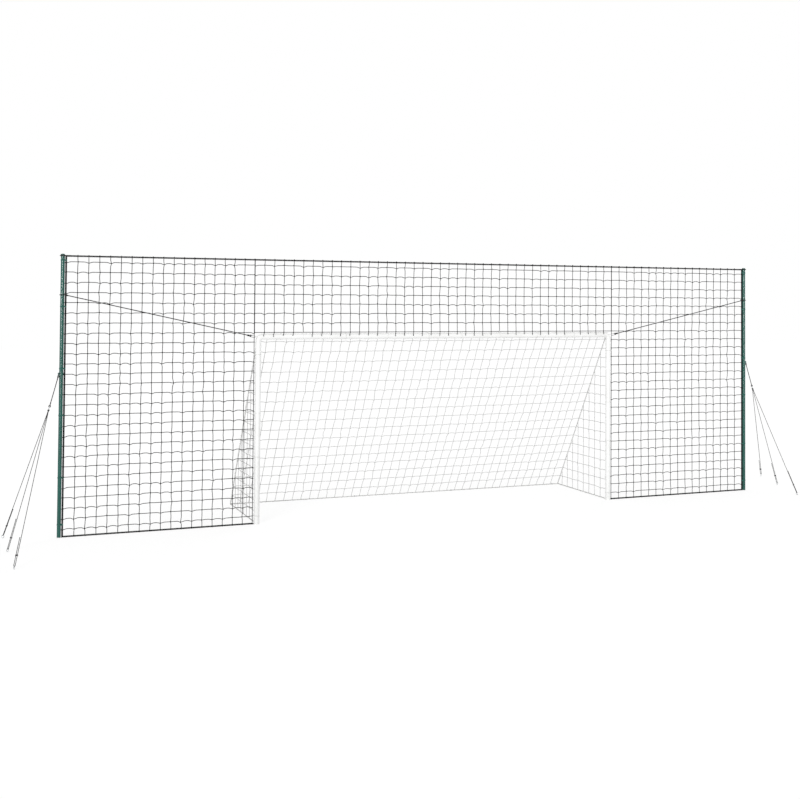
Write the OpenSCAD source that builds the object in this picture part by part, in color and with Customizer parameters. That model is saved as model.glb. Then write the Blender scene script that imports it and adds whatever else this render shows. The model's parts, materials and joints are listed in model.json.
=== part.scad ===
/* [Rebound wall] */
// Width of the wall between the centre lines of its side ropes
wall_w = 9000; // [8000:10:10000]
// Height of the top rope's centre line above the ground
wall_h = 3040; // [2850:10:3300]
// Diameter of the rope round the wall's edge
edge_rope_d = 12; // [8:0.5:16]
// Width of a cord of the netting, across the net
net_cord_w = 5; // [3:0.5:6]
// Thickness of the netting
net_t = 4; // [2:0.5:5]
// Gaps across each side panel
side_cols = 12; // [4:1:14]
// Gaps across the panel over the goal
top_cols = 27; // [12:1:30]
// Rows of gaps above the crossbar
top_rows = 5; // [2:1:7]
// Rows of gaps beside the goal, below the crossbar
low_rows = 13; // [6:1:16]

/* [Poles] */
// Outer diameter of a pole
pole_d = 42.4; // [32:0.2:50]
// Wall thickness of the pole's tube
pole_wall = 2; // [1.5:0.25:3]
// Height of the joint between the lower and the middle section
lower_joint_h = 1030; // [700:10:1300]
// Height of the joint between the middle and the upper section
upper_joint_h = 2040; // [1850:10:2300]
// Length of the swaged end that enters the next section
swage_len = 90; // [50:5:140]
// Space between a pole and its side rope
pole_gap = 4; // [3.5:0.5:12]
// Diameter of the ground spike's shaft
spike_d = 20; // [14:1:26]
// Depth of the pole's ground spike
spike_len = 300; // [200:10:450]
// Ties that hold each side rope to its pole
pole_ties = 6; // [3:1:9]

/* [Guys] */
// Height of the guy collar on the pole
collar_h = 1760; // [1500:10:1950]
// Drop from the collar to the ring where the lead divides
lead_drop = 355; // [250:5:500]
// Diameter of the lead rope
lead_d = 9; // [6:0.5:10]
// Diameter of a guy rope
guy_d = 6; // [4:0.5:7]
// Distance of the left pegs outwards from the left pole: back, middle, front
left_peg_out = [560, 535, 510]; // [300:5:1500]
// Place of the left pegs behind (+) or in front (-) of the wall
left_peg_y = [160, -530, -1310]; // [-2000:5:2000]
// Distance of the right pegs outwards from the right pole: back, middle, front
right_peg_out = [1050, 740, 420]; // [300:5:1500]
// Place of the right pegs behind (+) or in front (-) of the wall
right_peg_y = [900, 190, -560]; // [-2000:5:2000]
// Diameter of a guy peg's rod
peg_d = 8; // [6:0.5:10]
// Mean radius of the ring at the top of a peg
peg_ring_r = 14; // [13:0.5:18]
// Depth of a peg in the ground
peg_depth = 230; // [150:10:300]
// Distance of a slider from its peg along the guy
slider_rest = 110; // [60:5:160]
// Length of the guy's end that runs back up beside it
tail_len = 300; // [250:10:400]

/* [Corner ropes] */
// Diameter of the ropes from the poles to the goal's corners
corner_rope_d = 10; // [6:0.5:12]
// Distance between the two end bends of a snap hook
hook_len = 36; // [34:1:50]
// Wire diameter of a snap hook
hook_wire = 5; // [5:0.25:6]

/* [Goal] */
// Distance between the axes of the goalposts
goal_w = 4700; // [4200:10:5200]
// Height of the crossbar's axis
goal_h = 2150; // [2050:10:2300]
// Depth of the goal on the ground
goal_depth = 1300; // [900:10:1600]
// Outer diameter of the goal's tubes
tube_d = 68; // [60:1:76]
// Wall thickness of the goal's tubes
tube_wall = 2.5; // [2:0.25:4]
// Radius of the corner's bend at the tube's axis
corner_bend = 50; // [42:1:80]
// Length of a spigot inside a tube
spigot_len = 60; // [40:5:100]
// Length of the joiner inside the crossbar
joiner_len = 240; // [150:10:400]
// Depth of the goalpost's ground pin
post_pin_len = 200; // [120:10:300]
// Gaps across the goal's rear net
rear_cols = 27; // [12:1:30]
// Rows of gaps down the goal's nets
goal_rows = 11; // [6:1:12]
// Gaps along the goal's side nets
depth_cols = 6; // [3:1:8]
// Diameter of the rope in the goal net's slanting seams
seam_d = 12; // [8:0.5:14]
// Diameter of the rope along the goal net's foot
ground_rope_d = 8; // [6:0.5:10]
// Clips on each goalpost
post_clips = 3; // [2:1:4]
// Ties on each goalpost
post_ties = 4; // [2:1:4]

/* [Hidden] */
$fn = 48;

left = -1;
right = 1;
seat_gap = 0.3; // clearance between pieces that lie against each other
fit_gap = 0.2; // clearance of a spigot in its tube
pole_green = [0.08, 0.33, 0.28];
cord_black = [0.09, 0.09, 0.10];
goal_white = [0.95, 0.95, 0.94];
net_white = [0.88, 0.88, 0.87];
steel_grey = [0.72, 0.73, 0.74];
plastic_black = [0.12, 0.12, 0.13];
coated_black = [0.16, 0.16, 0.17];

// Radii and places that follow from the sizes above
pole_r = pole_d / 2;
pole_bore = pole_r - pole_wall;
edge_r = edge_rope_d / 2;
side_rope_x = wall_w / 2;
pole_x = side_rope_x + edge_r + pole_gap + pole_r;
shoulder_t = 5; // thickness of the spike's shoulder under the pole
pole_top = wall_h + edge_r + 2;
post_x = goal_w / 2;
tube_r = tube_d / 2;
tube_bore = tube_r - tube_wall;
spigot_wall = 4;
foot_t = 6; // thickness of the foot under a goalpost

// Wall net: the top panel's lowest cord lies just over the crossbar, and the side
// panels' inner edges stand just outside the goalposts
net_goal_gap = 12;
net_top = wall_h - edge_r - seat_gap;
net_bottom = edge_rope_d + seat_gap;
bar_line = goal_h + tube_r + net_goal_gap;
net_outer_x = side_rope_x - edge_r - seat_gap;
net_inner_x = post_x + tube_r + net_goal_gap;
function wall_row(k) = k <= top_rows
    ? net_top - (net_top - bar_line) * k / top_rows
    : bar_line - (bar_line - net_bottom) * (k - top_rows) / low_rows;
corner_gap = floor(top_rows / 2); // gap of the net in which the corner rope is tied
corner_z = (wall_row(corner_gap) + wall_row(corner_gap + 1)) / 2;

// Goal net: its slanting plane runs from behind the crossbar to the ground rope
clip_t = 3;
clip_ring_r = 5;
clip_wire_r = 1.5;
net_front_y = tube_r + fit_gap + clip_t + clip_ring_r;
ground_r = ground_rope_d / 2;
seam_r = seam_d / 2;
slope = [0, goal_depth - net_front_y, ground_r - goal_h];
slope_len = norm(slope);
slope_angle = atan2(-slope.z, slope.y);
rear_low = slope_len - ground_r - seat_gap - net_cord_w / 2;

// Guys
collar_t = 3;
collar_w = 30;
ear_gap = 10;
ear_len = 26;
ear_hole_out = 16; // from the pole's surface to the bolt
bolt_d = 6;
bolt_play = 0.3;
guy_ring_r = 16;
guy_ring_wire = 2;
junction_r = 22;
junction_wire = 2.5;
lead_eye = 9;
guy_eye = 7;
lead_r = lead_d / 2;
guy_r = guy_d / 2;
peg_r = peg_d / 2;
peg_wire = peg_r - 0.6; // radius of the wire of a peg's ring
turn_r = peg_wire + guy_r + seat_gap; // bend of a guy round its peg's ring
anchor_z = 34; // height at which a guy reaches its peg's ring
knot_r = 4.6;
slider_t = 10;
slider_end_r = 7;
slider_play = 0.4;

function unit(v) = v / norm(v);
function in_plane(v, n) = unit(v - (v * n) * n);
function peg_out(side) = side < 0 ? left_peg_out : right_peg_out;
function peg_y(side) = side < 0 ? left_peg_y : right_peg_y;
function anchor(side, k) = [pole_x + peg_out(side)[k], peg_y(side)[k], anchor_z];
function guys_end(side) = (anchor(side, 0) + anchor(side, 1) + anchor(side, 2)) / 3;
// The collar's ears point to where the three guys pull
function ear_turn(side) = atan2(guys_end(side).y, guys_end(side).x - pole_x);
function bolt_axis(side) = [-sin(ear_turn(side)), cos(ear_turn(side)), 0];
function bolt_at(side) = [pole_x, 0, collar_h]
    + (pole_r + ear_hole_out) * [cos(ear_turn(side)), sin(ear_turn(side)), 0];
function lead_dir(side) = unit(guys_end(side) - bolt_at(side));
function ring_at(side) =
    bolt_at(side) + lead_dir(side) * (guy_ring_r - guy_ring_wire - bolt_d / 2 - seat_gap);
function junction_at(side) =
    bolt_at(side) + lead_dir(side) * (lead_drop / -lead_dir(side).z);
function fan_normal(side) =
    unit(cross(anchor(side, 0) - junction_at(side), anchor(side, 2) - junction_at(side)));
function rim_point(side, k) = junction_at(side)
    + junction_r * in_plane(anchor(side, k) - junction_at(side), fan_normal(side));
function guy_dir(side, k) = unit(anchor(side, k) - rim_point(side, k));
function guy_side(side, k) = unit(cross(guy_dir(side, k), [0, 0, 1]));
function turn_at(side, k) = anchor(side, k) - guy_side(side, k) * turn_r;
function peg_ring_at(side, k) = turn_at(side, k) + guy_dir(side, k) * peg_ring_r;
function slider_at(side, k) = turn_at(side, k) - guy_dir(side, k) * slider_rest;
splice_in = 0.2; // an eye's cord is this much thinner in radius than its rope
// From the middle of a ring's wire to the end of the rope whose eye hangs on it
function eye_reach(eye, cord, wire) = 2 * eye - cord + splice_in - wire - seat_gap;

// Corner ropes and snap hooks, in the plane hook_y in front of the wall
hook_y = -16;
hook_bend = 10;
hook_r = hook_wire / 2;
staple_r = 2.5;
staple_half = 9;
corner_r = corner_rope_d / 2;
corner_eye = 9;
staple_at = [post_x + tube_r + 14, hook_y, goal_h];
corner_start = [pole_x - pole_r, hook_y, corner_z];
hook_u = unit(corner_start - staple_at);
hook_m = [-hook_u.z, 0, hook_u.x];
hook_n = [0, -1, 0];
hook_at = staple_at + hook_u * (hook_bend - hook_r - staple_r - seat_gap);
gate_pivot = hook_len - 8;
gate_half = 1.6;
gate_slot = 1.8;
gate_nose = 4;
rivet_r = 1;
rivet_play = 0.08;

module on_side(side) {
    mirror([side < 0 ? 1 : 0, 0, 0]) children();
}

// Puts the child's axes on three unit vectors at a point
module basis(p, x, y, z) {
    multmatrix([[x.x, y.x, z.x, p.x], [x.y, y.y, z.y, p.y], [x.z, y.z, z.z, p.z], [0, 0, 0, 1]])
        children();
}

// Turns the child's Z axis to a direction at a point
module along(p, d) {
    translate(p) rotate([0, acos(d.z), atan2(d.y, d.x)]) children();
}

module cord(p, q, r) {
    along(p, unit(q - p)) cylinder(h = norm(q - p), r = r);
}

module torus(ring, wire) {
    rotate_extrude() translate([ring, 0]) circle(wire);
}

module tube(h, r, bore) {
    difference() {
        cylinder(h = h, r = r);
        translate([0, 0, -1]) cylinder(h = h + 2, r = bore);
    }
}

// Outline of a band drawn tight round two circles, circumscribed about both
function band_outline(r1, r2, d, n1 = 12, n2 = 6) = let (a = acos((r1 - r2) / d)) concat(
    [for (i = [0 : n1]) let (t = a + (360 - 2 * a) * i / n1)
        r1 / cos((180 - a) / n1) * [cos(t), sin(t)]],
    [for (i = [0 : n2]) let (t = -a + 2 * a * i / n2)
        [d, 0] + r2 / cos(a / n2) * [cos(t), sin(t)]]);

module band(r1, r2, d, t, w) {
    translate([0, 0, -w / 2]) linear_extrude(w) difference() {
        polygon(band_outline(r1 + t, r2 + t, d));
        polygon(band_outline(r1, r2, d));
    }
}

// Angle about the rope's own axis at which an eye grips a ring's wire: x and y are the
// rope's cross directions, v its direction and n the ring's axis
function eye_turn(x, y, v, n) = let (t = unit(cross(n, in_plane(v, n)))) atan2(t * y, t * x);

// An eye at the end of a rope that runs along Z and ends at h
module rope_eye(h, eye, cord_r, turn) {
    translate([0, 0, h + eye]) rotate([0, 90, turn]) torus(eye, cord_r - splice_in);
}

// ---- Poles ----
module swaged_tube(z0, z1) {
    swage_r = pole_bore - fit_gap;
    difference() {
        rotate_extrude() polygon([
            [0, z0], [pole_r, z0], [pole_r, z1], [swage_r, z1],
            [swage_r, z1 + swage_len - 3], [swage_r - 1, z1 + swage_len], [0, z1 + swage_len]]);
        rotate_extrude() polygon([
            [0, z0 - 1], [pole_bore, z0 - 1], [pole_bore, z1 - 8],
            [swage_r - pole_wall, z1], [swage_r - pole_wall, z1 + swage_len + 1],
            [0, z1 + swage_len + 1]]);
    }
}

module pole_lower(side) {
    color(pole_green) on_side(side) translate([pole_x, 0, 0])
        swaged_tube(shoulder_t, lower_joint_h);
}

module pole_middle(side) {
    color(pole_green) on_side(side) translate([pole_x, 0, 0])
        swaged_tube(lower_joint_h, upper_joint_h);
}

module pole_upper(side) {
    color(pole_green) on_side(side) translate([pole_x, 0, upper_joint_h])
        tube(pole_top - upper_joint_h, pole_r, pole_bore);
}

module pole_cap(side) {
    cap_rim = 2;
    color(plastic_black) on_side(side) translate([pole_x, 0, pole_top])
        rotate_extrude() polygon(concat(
            [[0, -25], [pole_bore - fit_gap - 1, -25], [pole_bore - fit_gap, -22],
             [pole_bore - fit_gap, 0], [pole_r + cap_rim, 0], [pole_r + cap_rim, 4]],
            [for (i = [1 : 6]) let (t = 15 * i)
                [(pole_r + cap_rim) * cos(t), 4 + 9 * sin(t)]]));
}

module pole_spike(side) {
    color(steel_grey) on_side(side) translate([pole_x, 0, 0]) rotate_extrude() polygon([
        [0, -spike_len], [spike_d / 2, -spike_len + 2 * spike_d], [spike_d / 2, 0],
        [pole_r, 0], [pole_r, shoulder_t], [pole_bore - fit_gap, shoulder_t],
        [pole_bore - fit_gap, 117], [pole_bore - fit_gap - 3, 120], [0, 120]]);
}

// ---- Guy collar, ring, lead, junction ----
module collar_ear() {
    chamfer = 7;
    far = pole_r + ear_len;
    near = pole_r + 1;
    half = collar_w / 2;
    rotate([90, 0, 0]) linear_extrude(collar_t) difference() {
        polygon([[near, -half], [far - chamfer, -half], [far, -half + chamfer],
            [far, half - chamfer], [far - chamfer, half], [near, half]]);
        translate([pole_r + ear_hole_out, 0]) circle(bolt_d / 2 + bolt_play);
    }
}

module guy_collar(side) {
    color(pole_green) on_side(side) translate([pole_x, 0, collar_h]) rotate(ear_turn(side)) {
        difference() {
            translate([0, 0, -collar_w / 2])
                tube(collar_w, pole_r + fit_gap + collar_t, pole_r + fit_gap);
            translate([0, -ear_gap / 2, -collar_w]) cube([2 * pole_d, ear_gap, 2 * collar_w]);
        }
        translate([0, -ear_gap / 2, 0]) collar_ear();
        translate([0, ear_gap / 2 + collar_t, 0]) collar_ear();
    }
}

module collar_bolt(side) {
    head_t = 4;
    nut_t = 5;
    hex_r = bolt_d * 0.962;
    grip = ear_gap + 2 * collar_t;
    on_side(side) translate(bolt_at(side)) rotate([90, 0, ear_turn(side)]) {
        translate([0, 0, grip / 2]) cylinder(h = head_t, r = hex_r, $fn = 6);
        translate([0, 0, -grip / 2 - nut_t - 3])
            cylinder(h = grip + nut_t + 4, r = bolt_d / 2);
        translate([0, 0, -grip / 2 - nut_t]) difference() {
            cylinder(h = nut_t, r = hex_r, $fn = 6);
            translate([0, 0, -1]) cylinder(h = nut_t + 2, r = bolt_d / 2 + 0.1);
        }
    }
}

module guy_collar_bolts() {
    color(steel_grey) {
        collar_bolt(left);
        collar_bolt(right);
    }
}

module guy_ring(side) {
    color(steel_grey) on_side(side) translate(ring_at(side)) rotate([90, 0, ear_turn(side)])
        torus(guy_ring_r, guy_ring_wire);
}

module guy_lead(side) {
    up = ring_at(side) + guy_ring_r * lead_dir(side);
    n = fan_normal(side);
    across = bolt_axis(side);
    low = junction_at(side) - junction_r * in_plane(junction_at(side) - up, n);
    z = unit(up - low);
    x = unit(cross(z, across));
    y = cross(z, x);
    start = eye_reach(lead_eye, lead_r, junction_wire);
    long = norm(up - low) - start - eye_reach(lead_eye, lead_r, guy_ring_wire);
    color(cord_black) on_side(side) basis(low + z * start, x, y, z) {
        cylinder(h = long, r = lead_r);
        rope_eye(long, lead_eye, lead_r, eye_turn(x, y, z, across));
        rope_eye(-2 * lead_eye, lead_eye, lead_r, eye_turn(x, y, z, n));
    }
}

module guy_junction_rings() {
    color(steel_grey) for (side = [left, right]) on_side(side)
        along(junction_at(side), fan_normal(side)) torus(junction_r, junction_wire);
}

// A guy: eye on the junction ring, standing part, turn through the peg's ring, and
// the end that runs back up beside it to a stopper knot
module guy(side, k) {
    z = -guy_dir(side, k);
    x = guy_side(side, k);
    y = cross(z, x);
    long = norm(rim_point(side, k) - anchor(side, k))
        - eye_reach(guy_eye, guy_r, junction_wire);
    basis(turn_at(side, k), x, y, z) {
        translate([turn_r, 0, 0]) {
            cylinder(h = long, r = guy_r);
            rope_eye(long, guy_eye, guy_r, eye_turn(x, y, z, fan_normal(side)));
        }
        rotate([-90, 0, 0]) rotate_extrude(angle = 180) translate([turn_r, 0]) circle(guy_r);
        translate([-turn_r, 0, 0]) cylinder(h = tail_len, r = guy_r);
        translate([-turn_r, 0, tail_len]) sphere(knot_r);
    }
}

module guys(side) {
    color(cord_black) on_side(side) for (k = [0 : 2]) guy(side, k);
}

module guy_peg(side, k) {
    c = peg_ring_at(side, k);
    n = guy_side(side, k);
    along(c, n) torus(peg_ring_r, peg_wire);
    translate([c.x, c.y, 0]) rotate_extrude() polygon([
        [0, -peg_depth], [peg_r, -peg_depth + 2 * peg_d],
        [peg_r, c.z - peg_ring_r - 2], [peg_r - 1, c.z - peg_ring_r - 1],
        [0, c.z - peg_ring_r - 1]]);
}

module guy_pegs() {
    color(steel_grey) for (side = [left, right]) on_side(side)
        for (k = [0 : 2]) guy_peg(side, k);
}

module slider(side, k) {
    n = guy_side(side, k);
    d = guy_dir(side, k);
    color(plastic_black) on_side(side) basis(slider_at(side, k), n, cross(d, n), d)
        translate([-turn_r, 0, -slider_t / 2]) difference() {
            linear_extrude(slider_t)
                polygon(band_outline(slider_end_r, slider_end_r, 2 * turn_r, 8, 8));
            for (x = [0, 2 * turn_r]) translate([x, 0, -1])
                cylinder(h = slider_t + 2, r = guy_r + slider_play);
        }
}

// ---- Wall net and its ropes ----
module net_bar_h(x0, x1, z) {
    translate([x0, z - net_cord_w / 2]) square([x1 - x0, net_cord_w]);
}

module net_bar_v(z0, z1, x) {
    translate([x - net_cord_w / 2, z0]) square([net_cord_w, z1 - z0]);
}

module wall_panel(x0, x1, cols, last_row) {
    half = net_cord_w / 2;
    top = wall_row(0);
    low = wall_row(last_row);
    rotate([90, 0, 0]) translate([0, 0, -net_t / 2]) linear_extrude(net_t) {
        net_bar_h(x0, x1, top - half);
        for (k = [1 : last_row]) net_bar_h(x0, x1, max(wall_row(k), low + half));
        for (i = [0 : cols]) net_bar_v(low, top, x0 + half + (x1 - x0 - 2 * half) * i / cols);
    }
}

module side_net(side) {
    color(cord_black) on_side(side)
        wall_panel(net_inner_x, net_outer_x, side_cols, top_rows + low_rows);
}

module top_net() {
    edge = net_inner_x - seat_gap;
    color(cord_black) wall_panel(-edge, edge, top_cols, top_rows);
}

module top_rope() {
    loop_wire = edge_r - splice_in;
    loop_r = pole_r + seat_gap + loop_wire;
    color(cord_black) {
        cord([loop_r - pole_x, 0, wall_h], [pole_x - loop_r, 0, wall_h], edge_r);
        for (x = [-pole_x, pole_x]) translate([x, 0, wall_h]) torus(loop_r, loop_wire);
    }
}

module side_rope(side) {
    color(cord_black) on_side(side) translate([side_rope_x, 0, 0])
        cylinder(h = wall_h - edge_r - seat_gap, r = edge_r);
}

module bottom_rope(side) {
    color(cord_black) on_side(side)
        cord([post_x + tube_r + seat_gap, 0, edge_r],
            [side_rope_x - edge_r - seat_gap, 0, edge_r], edge_r);
}

// Band round the pole, its side rope and the net's edge cord
module pole_band(t, w) {
    rope_in = pole_x - side_rope_x;
    reach = rope_in + edge_r + seat_gap + net_cord_w + seat_gap;
    small_r = edge_r + seat_gap;
    rotate([0, 0, 180]) band(pole_r + seat_gap, small_r, reach - small_r, t, w);
}

module pole_tie_set(side) {
    tie_t = 1.5;
    tie_w = 14;
    last = top_rows + low_rows - 1;
    color(pole_green) on_side(side) for (i = [0 : pole_ties - 1]) {
        k = round(i * last / (pole_ties - 1));
        z = wall_row(k) - (wall_row(k) - wall_row(k + 1)) / 4;
        clear = collar_w / 2 + tie_w;
        translate([pole_x, 0, z > collar_h ? max(z, collar_h + clear) : min(z, collar_h - clear)])
            pole_band(tie_t, tie_w);
    }
}

// Ties that join the wall net to the goal: round the crossbar and the lowest cord of
// the top panel, and round the posts and the inner edges of the side panels
module goal_tie() {
    edge = tube_r + net_goal_gap + net_cord_w + 2 * seat_gap;
    small_r = 5;
    band(tube_r + seat_gap, small_r, edge - small_r, 2, 4);
}

module goal_ties() {
    inner = net_inner_x - seat_gap;
    pitch = 2 * inner / top_cols;
    color(net_white) {
        for (side = [left, right], i = [1 : 3 : top_cols / 2 - 3])
            on_side(side) translate([(i + 0.25) * pitch, 0, goal_h]) rotate([0, -90, 0]) goal_tie();
        for (side = [left, right], i = [0 : post_ties - 1]) {
            k = top_rows + 1 + round(i * (low_rows - 2) / (post_ties - 1));
            on_side(side) translate([post_x, 0, (wall_row(k) + wall_row(k + 1)) / 2]) goal_tie();
        }
    }
}

// ---- Corner ropes and their snap hooks ----
module corner_rope(side) {
    far = hook_at + hook_u * (hook_len + hook_bend);
    long = norm(corner_start - far) - eye_reach(corner_eye, corner_r, hook_r);
    color(cord_black) on_side(side) {
        translate([pole_x, 0, corner_z]) pole_band(corner_rope_d, corner_rope_d);
        basis(corner_start, hook_m, hook_n, -hook_u) {
            cylinder(h = long, r = corner_r);
            rope_eye(long, corner_eye, corner_r, 0);
        }
    }
}

module hook_wire_run(x0, x1, y) {
    translate([x0, y, 0]) rotate([0, 90, 0]) cylinder(h = x1 - x0, r = hook_r);
}

module snap_hook(side) {
    cheek = 2.7;
    color(coated_black) on_side(side) basis(hook_at, hook_u, hook_m, hook_n) {
        rotate(90) rotate_extrude(angle = 180) translate([hook_bend, 0]) circle(hook_r);
        translate([hook_len, 0, 0]) rotate(-90)
            rotate_extrude(angle = 180) translate([hook_bend, 0]) circle(hook_r);
        hook_wire_run(0, hook_len, -hook_bend);
        hook_wire_run(0, gate_nose, hook_bend);
        hook_wire_run(gate_pivot + 5, hook_len, hook_bend);
        difference() {
            translate([gate_pivot - cheek, hook_bend - cheek, -cheek])
                cube([cheek + 6, 2 * cheek, 2 * cheek]);
            translate([gate_pivot - cheek - 1, hook_bend - cheek - 1, -gate_slot])
                cube([2 * cheek + 1.4, 2 * cheek + 2, 2 * gate_slot]);
        }
        translate([gate_pivot, hook_bend, -cheek]) cylinder(h = 2 * cheek, r = rivet_r);
    }
}

module hook_gate(side) {
    eye_r = 2.4;
    color(coated_black) on_side(side) basis(hook_at, hook_u, hook_m, hook_n)
        translate([gate_pivot, hook_bend, 0]) difference() {
            union() {
                translate([0, 0, -gate_half]) cylinder(h = 2 * gate_half, r = eye_r);
                rotate([0, -90, 0])
                    cylinder(h = gate_pivot - gate_nose - seat_gap, r = gate_half - 0.05);
            }
            translate([0, 0, -gate_half - 1])
                cylinder(h = 2 * gate_half + 2, r = rivet_r + rivet_play);
        }
}

// ---- Goal frame ----
module post(side) {
    color(goal_white) on_side(side) translate([post_x, 0, foot_t])
        tube(goal_h - corner_bend - foot_t, tube_r, tube_bore);
}

module crossbar(side) {
    color(goal_white) on_side(side) translate([0, 0, goal_h]) rotate([0, 90, 0])
        tube(post_x - corner_bend, tube_r, tube_bore);
}

module crossbar_joiner() {
    r = tube_bore - fit_gap;
    color(net_white) translate([-joiner_len / 2, 0, goal_h]) rotate([0, 90, 0])
        tube(joiner_len, r, r - spigot_wall);
}

module corner_elbow(side) {
    r = tube_bore - fit_gap;
    bore = r - spigot_wall;
    centre = [post_x - corner_bend, 0, goal_h - corner_bend];
    color(goal_white) on_side(side) {
        difference() {
            union() {
                basis(centre, [1, 0, 0], [0, 0, 1], [0, -1, 0])
                    rotate_extrude(angle = 90) translate([corner_bend, 0]) circle(tube_r);
                translate([post_x, 0, goal_h - corner_bend - spigot_len])
                    cylinder(h = spigot_len + 1, r = r);
                translate([post_x - corner_bend - spigot_len, 0, goal_h])
                    rotate([0, 90, 0]) cylinder(h = spigot_len + 1, r = r);
                for (dy = [-staple_half, staple_half])
                    cord([post_x, hook_y + dy, goal_h], staple_at + [0, dy, 0], staple_r);
            }
            basis(centre, [1, 0, 0], [0, 0, 1], [0, -1, 0])
                rotate_extrude(angle = 90) translate([corner_bend, 0]) circle(bore);
            translate([post_x, 0, goal_h - corner_bend - spigot_len - 1])
                cylinder(h = spigot_len + 1, r = bore);
            translate([post_x - corner_bend - spigot_len - 1, 0, goal_h])
                rotate([0, 90, 0]) cylinder(h = spigot_len + 1, r = bore);
        }
        cord(staple_at - [0, staple_half + staple_r, 0], staple_at + [0, staple_half + staple_r, 0],
            staple_r);
    }
}

module post_foot(side) {
    pin_r = 6;
    color(goal_white) on_side(side) translate([post_x, 0, 0]) rotate_extrude() polygon([
        [0, -post_pin_len], [pin_r, -post_pin_len + 4 * pin_r], [pin_r, 0],
        [tube_r, 0], [tube_r, foot_t], [tube_bore - fit_gap, foot_t],
        [tube_bore - fit_gap, foot_t + spigot_len - 3],
        [tube_bore - fit_gap - 3, foot_t + spigot_len], [0, foot_t + spigot_len]]);
}

// ---- Goal net ----
module goal_net_rear() {
    half = net_cord_w / 2;
    edge = post_x - seam_r - seat_gap;
    start = -half;
    color(net_white) translate([0, net_front_y, goal_h]) rotate([-slope_angle, 0, 0])
        translate([0, 0, -net_t / 2]) linear_extrude(net_t) {
            for (k = [0 : goal_rows]) net_bar_h(-edge, edge, rear_low * k / goal_rows);
            for (i = [0 : rear_cols])
                net_bar_v(start, rear_low + half, -edge + half + (2 * edge - net_cord_w) * i / rear_cols);
        }
}

// The triangle between the post, the seam and the ground rope, drawn with depth as x
module side_triangle() {
    half = net_cord_w / 2;
    low = ground_rope_d + seat_gap + half;
    away = seam_r + seat_gap + half;
    rise = goal_h - ground_r;
    run = goal_depth - net_front_y;
    // Seam line moved inwards by half the seam and the cord
    inset = away * slope_len / run;
    top = goal_h - inset;
    function seam_z(y) = top - (y - net_front_y) * rise / run;
    function seam_y(z) = net_front_y + (top - z) * run / rise;
    far = seam_y(low);
    for (k = [1 : goal_rows - 1]) {
        z = low + (top - low) * k / goal_rows;
        net_bar_h(net_front_y, seam_y(z), z);
    }
    for (i = [1 : depth_cols - 1]) {
        y = net_front_y + (far - net_front_y) * i / depth_cols;
        net_bar_v(low, seam_z(y), y);
    }
    net_bar_h(net_front_y, far, low);
    net_bar_v(low - half, top, net_front_y);
    translate([net_front_y, top]) rotate(-slope_angle)
        translate([0, -half]) square([(far - net_front_y) * slope_len / run, net_cord_w]);
}

module goal_net_side(side) {
    color(net_white) on_side(side) translate([post_x - net_t / 2, 0, 0])
        rotate([90, 0, 90]) linear_extrude(net_t) side_triangle();
}

// Each seam rope is cut level at its foot, where it rests on the two ground ropes
module goal_seam_ropes() {
    top = [0, net_front_y, goal_h];
    low = [0, goal_depth, ground_r];
    room = 4 * seam_r;
    color(net_white) for (x = [-post_x, post_x]) difference() {
        cord(top + [x, 0, 0], low + [x, 0, 0], seam_r);
        translate([x - room, goal_depth - room, -room])
            cube([2 * room, 2 * room, room + ground_rope_d + seat_gap]);
    }
}

module goal_ground_ropes() {
    color(net_white) {
        cord([-post_x - ground_r, goal_depth, ground_r], [post_x + ground_r, goal_depth, ground_r],
            ground_r);
        for (x = [-post_x, post_x])
            cord([x, tube_r + seat_gap, ground_r],
                [x, goal_depth - ground_r - seat_gap, ground_r], ground_r);
    }
}

// Clip that grips the tube from behind and holds the net's edge cord in its ring
module net_clip() {
    clip_w = 14;
    grip = 230;
    inner = tube_r + fit_gap;
    translate([0, 0, -clip_w / 2]) rotate(90 - grip / 2) rotate_extrude(angle = grip)
        translate([inner, 0]) square([clip_t, clip_w]);
    translate([0, net_front_y, 0]) torus(clip_ring_r, clip_wire_r);
}

module goal_net_clips() {
    edge = post_x - seam_r - seat_gap;
    pitch = 2 * edge / rear_cols;
    color(goal_white) {
        for (i = [1 : 3 : rear_cols - 2])
            translate([(i + 0.5) * pitch - edge, 0, goal_h]) rotate([0, 90, 0]) net_clip();
        for (x = [-post_x, post_x], i = [0 : post_clips - 1]) {
            k = 1 + round(i * (goal_rows - 3) / (post_clips - 1));
            translate([x, 0, goal_h * (k + 0.5) / goal_rows]) net_clip();
        }
    }
}

// J-shaped pegs over the rear ground rope and the net's lowest cord
module goal_peg() {
    rod_r = 3;
    hook_ring = ground_rope_d / 2 + seat_gap + net_cord_w + 0.45 + rod_r;
    depth = 180;
    translate([0, goal_depth, ground_r]) {
        basis([0, 0, 0], [0, 1, 0], [0, 0, 1], [1, 0, 0])
            rotate_extrude(angle = 180) translate([hook_ring, 0]) circle(rod_r);
        translate([0, hook_ring, -depth]) cylinder(h = depth, r = rod_r);
        translate([0, hook_ring, -depth - 12]) cylinder(h = 12, r1 = 0.5, r2 = rod_r);
    }
}

module goal_net_pegs() {
    edge = post_x - seam_r - seat_gap;
    pitch = 2 * edge / rear_cols;
    third = floor(rear_cols / 3);
    color(steel_grey) for (i = [0, third, rear_cols - 1 - third, rear_cols - 1])
        translate([(i + 0.5) * pitch - edge, 0, 0]) goal_peg();
}

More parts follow.
